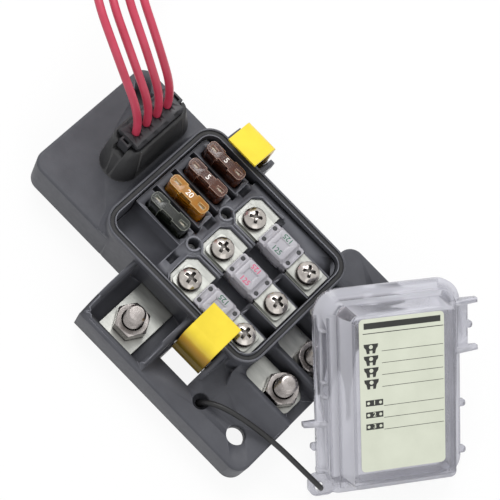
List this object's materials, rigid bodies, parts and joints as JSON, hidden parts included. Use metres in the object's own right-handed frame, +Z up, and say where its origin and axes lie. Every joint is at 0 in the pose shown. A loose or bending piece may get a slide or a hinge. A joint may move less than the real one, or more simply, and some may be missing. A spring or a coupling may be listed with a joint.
{
  "type": "blade fuse block",
  "caption": "Marine fuse block with blade fuses, bolt-down strap fuses, threaded studs, yellow latches and a clear cover resting beside it.",
  "frame": {"origin": "on the flat underside, straight below the wire-side screw of the middle strap fuse", "axes": "+X from the wire end to the output studs, +Y across the block away from the feed stud, +Z up from the mounting face"},
  "size_m": [0.2573, 0.1706, 0.0837],
  "materials": {
    "base_nylon": "fine moulded texture, dark grey",
    "deck_nylon": "fine moulded texture, dark grey",
    "connector_nylon": "moulded black",
    "gasket_rubber": "soft moulded seal",
    "bright_steel": "bright turned steel",
    "stainless_steel": "rolled thread, machined",
    "nickel_steel": "nickel plated",
    "tinned_copper": "tin plated, brushed",
    "brass_insert": "turned",
    "dark_rivet": "dark pin ends",
    "strap_body_plastic": "pale translucent moulding",
    "fuse_plastic_tan": "clear tinted moulding",
    "fuse_plastic_amber": "clear tinted moulding",
    "fuse_plastic_dark": "clear tinted moulding",
    "fuse_zinc": "stamped",
    "lead_insulation": "smooth extruded insulation",
    "latch_yellow": "smooth moulded",
    "cover_clear": "clear moulded",
    "label_paper": "printed film",
    "tether_rubber": "smooth black cord"
  },
  "bodies": {
    "housing": {"base": "base_nylon", "blade_bus": "tinned_copper", "circuit_strip_1": "tinned_copper", "circuit_strip_2": "tinned_copper", "circuit_strip_3": "tinned_copper", "circuit_strip_4": "tinned_copper", "connector_housing": "connector_nylon", "cover": "cover_clear", "cover_label": "label_paper", "deck_screws": "bright_steel", "feed_busbar": "tinned_copper", "feed_nut": "stainless_steel", "feed_pillars": "brass_insert", "feed_stud": "stainless_steel", "feed_terminals": "tinned_copper", "fuse_deck": "deck_nylon", "latch_pin_1": "bright_steel", "latch_pin_2": "bright_steel", "lead_1": "lead_insulation", "lead_2": "lead_insulation", "lead_3": "lead_insulation", "lead_4": "lead_insulation", "output_bar_1": "tinned_copper", "output_bar_2": "tinned_copper", "output_bar_3": "tinned_copper", "output_nuts": "stainless_steel", "output_pillars": "brass_insert", "output_stud_1": "stainless_steel", "output_stud_2": "stainless_steel", "output_stud_3": "stainless_steel", "output_terminals": "tinned_copper", "rim_gasket": "gasket_rubber", "strap_fuse_1": "tinned_copper", "strap_fuse_2": "tinned_copper", "strap_fuse_3": "tinned_copper", "strap_fuse_body_1": "strap_body_plastic", "strap_fuse_body_2": "strap_body_plastic", "strap_fuse_body_3": "strap_body_plastic", "strap_rivets": "dark_rivet", "strap_screws_feed": "nickel_steel", "strap_screws_output": "nickel_steel", "strap_washers_feed": "nickel_steel", "strap_washers_output": "nickel_steel", "tether": "tether_rubber"},
    "blade_fuse_1": {"blade_fuse_body_1": "fuse_plastic_tan", "blade_fuse_element_1": "fuse_zinc"},
    "blade_fuse_2": {"blade_fuse_body_2": "fuse_plastic_tan", "blade_fuse_element_2": "fuse_zinc"},
    "blade_fuse_3": {"blade_fuse_body_3": "fuse_plastic_amber", "blade_fuse_element_3": "fuse_zinc"},
    "blade_fuse_4": {"blade_fuse_body_4": "fuse_plastic_dark", "blade_fuse_element_4": "fuse_zinc"},
    "latch_1_arm": {"latch_1": "latch_yellow"},
    "latch_2_arm": {"latch_2": "latch_yellow"}
  },
  "joints": [
    {"name": "blade_fuse_1_pull", "type": "slide", "parent": "housing", "child": "blade_fuse_1", "axis": [0, 0, 1], "range_m": [0, 0.022]},
    {"name": "blade_fuse_2_pull", "type": "slide", "parent": "housing", "child": "blade_fuse_2", "axis": [0, 0, 1], "range_m": [0, 0.022]},
    {"name": "blade_fuse_3_pull", "type": "slide", "parent": "housing", "child": "blade_fuse_3", "axis": [0, 0, 1], "range_m": [0, 0.022]},
    {"name": "blade_fuse_4_pull", "type": "slide", "parent": "housing", "child": "blade_fuse_4", "axis": [0, 0, 1], "range_m": [0, 0.022]},
    {"name": "latch_1_swing", "type": "hinge", "parent": "housing", "child": "latch_1_arm", "pos_m": [-0.0217, 0.0429, 0.017], "axis": [-1, 0, 0], "range_deg": [-12, 60]},
    {"name": "latch_2_swing", "type": "hinge", "parent": "housing", "child": "latch_2_arm", "pos_m": [0.0209, -0.0365, 0.017], "axis": [1, 0, 0], "range_deg": [-12, 60]}
  ]
}
